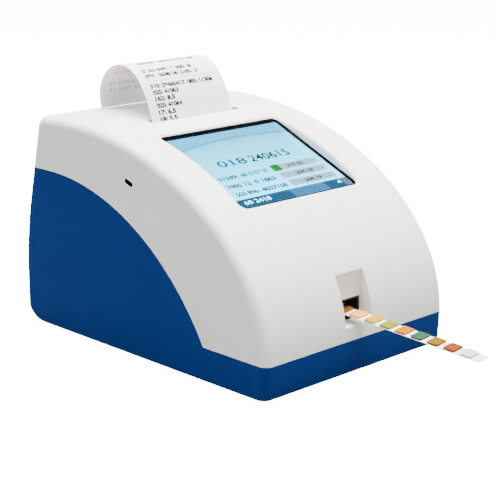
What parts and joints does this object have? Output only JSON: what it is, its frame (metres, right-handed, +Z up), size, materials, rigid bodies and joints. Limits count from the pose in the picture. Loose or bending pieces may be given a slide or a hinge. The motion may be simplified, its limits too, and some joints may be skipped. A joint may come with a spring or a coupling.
{
  "type": "benchtop urine test strip analyzer",
  "caption": "Benchtop analyzer with a sloped touch screen, a sliding strip tray at the front, a receipt printer on top and a paper door at the rear.",
  "frame": {"origin": "centre of the bounding box's footprint, on the bench plane under the rubber feet", "axes": "+Z up, -Y toward the user at the strip hatch, +Y toward the rear connectors, +X to the user's right when facing the screen"},
  "size_m": [0.132, 0.2662, 0.1434],
  "materials": {
    "upper_shell": "satin",
    "lower_shell": "satin",
    "rubber_feet": "matt",
    "housing_screws": "satin",
    "lock_plate": "satin",
    "screen_gasket": "matt",
    "touch_glass": "polished",
    "lcd_module": "polished",
    "screen_bracket": "satin",
    "bracket_screws": "satin",
    "hatch_liner": "satin",
    "strip_tray": "satin",
    "reference_pad": "matt",
    "test_strip": "satin",
    "reagent_pads": "matt",
    "tray_bed": "satin",
    "bed_screws": "satin",
    "drive_gear": "satin",
    "motor_pinion": "satin",
    "tray_motor": "satin",
    "optical_head": "matt",
    "head_lens": "polished",
    "sensor_board": "satin",
    "printer_frame": "satin",
    "frame_screws": "satin",
    "print_head": "satin",
    "head_springs": "satin",
    "platen_roller": "matt",
    "platen_shaft": "satin",
    "platen_gear": "satin",
    "printer_pinion": "satin",
    "printer_motor": "satin",
    "roll_cradle": "satin",
    "roll_spindle": "satin",
    "roll_core": "matt",
    "paper_roll": "matt",
    "receipt_paper": "matt",
    "paper_door": "satin",
    "hinge_pins": "satin",
    "door_magnets": "satin",
    "catch_plate": "satin",
    "main_board": "satin",
    "board_screws": "satin",
    "board_chips": "matt",
    "coin_cell": "satin",
    "serial_port": "satin",
    "jackscrews": "satin",
    "usb_port": "satin",
    "dc_jack": "satin",
    "switch_body": "satin",
    "power_rocker": "satin"
  },
  "bodies": {
    "housing": {"upper_shell": "upper_shell", "lower_shell": "lower_shell", "rubber_feet": "rubber_feet", "housing_screws": "housing_screws", "lock_plate": "lock_plate", "screen_gasket": "screen_gasket", "touch_glass": "touch_glass", "lcd_module": "lcd_module", "screen_bracket": "screen_bracket", "bracket_screws": "bracket_screws", "hatch_liner": "hatch_liner", "tray_bed": "tray_bed", "bed_screws": "bed_screws", "tray_motor": "tray_motor", "optical_head": "optical_head", "head_lens": "head_lens", "sensor_board": "sensor_board", "printer_frame": "printer_frame", "frame_screws": "frame_screws", "print_head": "print_head", "head_springs": "head_springs", "printer_motor": "printer_motor", "roll_cradle": "roll_cradle", "roll_spindle": "roll_spindle", "receipt_paper": "receipt_paper", "hinge_pins": "hinge_pins", "catch_plate": "catch_plate", "main_board": "main_board", "board_screws": "board_screws", "board_chips": "board_chips", "coin_cell": "coin_cell", "serial_port": "serial_port", "jackscrews": "jackscrews", "usb_port": "usb_port", "dc_jack": "dc_jack", "switch_body": "switch_body"},
    "paper_door": {"paper_door": "paper_door", "door_magnets": "door_magnets"},
    "strip_tray": {"strip_tray": "strip_tray", "reference_pad": "reference_pad", "test_strip": "test_strip", "reagent_pads": "reagent_pads"},
    "drive_gear": {"drive_gear": "drive_gear"},
    "motor_pinion": {"motor_pinion": "motor_pinion"},
    "paper_roll": {"paper_roll": "paper_roll", "roll_core": "roll_core"},
    "platen": {"platen_roller": "platen_roller", "platen_shaft": "platen_shaft", "platen_gear": "platen_gear"},
    "printer_pinion": {"printer_pinion": "printer_pinion"},
    "power_rocker": {"power_rocker": "power_rocker"}
  },
  "joints": [
    {"name": "door_hinge", "type": "hinge", "parent": "housing", "child": "paper_door", "pos_m": [0, 0.12982, 0.046], "axis": [-1, 0, 0], "range_deg": [0, 100]},
    {"name": "tray_slide", "type": "slide", "parent": "housing", "child": "strip_tray", "axis": [0, 1, 0], "range_m": [0, 0.08]},
    {"name": "drive_gear_spin", "type": "hinge", "parent": "housing", "child": "drive_gear", "pos_m": [0, 0.0399, 0.01873], "axis": [-1, 0, 0], "range_deg": [-10, 730]},
    {"name": "motor_pinion_spin", "type": "hinge", "parent": "housing", "child": "motor_pinion", "pos_m": [0, 0.05045, 0.01873], "axis": [1, 0, 0], "range_deg": [-10, 1160]},
    {"name": "roll_spin", "type": "hinge", "parent": "housing", "child": "paper_roll", "pos_m": [-0.0022, 0.1009, 0.07], "axis": [1, 0, 0], "continuous": true},
    {"name": "platen_spin", "type": "hinge", "parent": "housing", "child": "platen", "pos_m": [-0.0022, 0.0671, 0.106], "axis": [1, 0, 0], "continuous": true},
    {"name": "printer_pinion_spin", "type": "hinge", "parent": "housing", "child": "printer_pinion", "pos_m": [-0.0022, 0.0671, 0.09685], "axis": [1, 0, 0], "continuous": true},
    {"name": "rocker_tilt", "type": "hinge", "parent": "housing", "child": "power_rocker", "pos_m": [0.052, 0.1276, 0.022], "axis": [1, 0, 0], "range_deg": [0, 16]}
  ],
  "couplings": [
    {"joint": "drive_gear_spin", "follows": "tray_slide", "rad_per_m": 156.25},
    {"joint": "motor_pinion_spin", "follows": "tray_slide", "rad_per_m": 250},
    {"joint": "platen_spin", "follows": "roll_spin", "ratio": 3.8},
    {"joint": "printer_pinion_spin", "follows": "roll_spin", "ratio": -7.6}
  ]
}
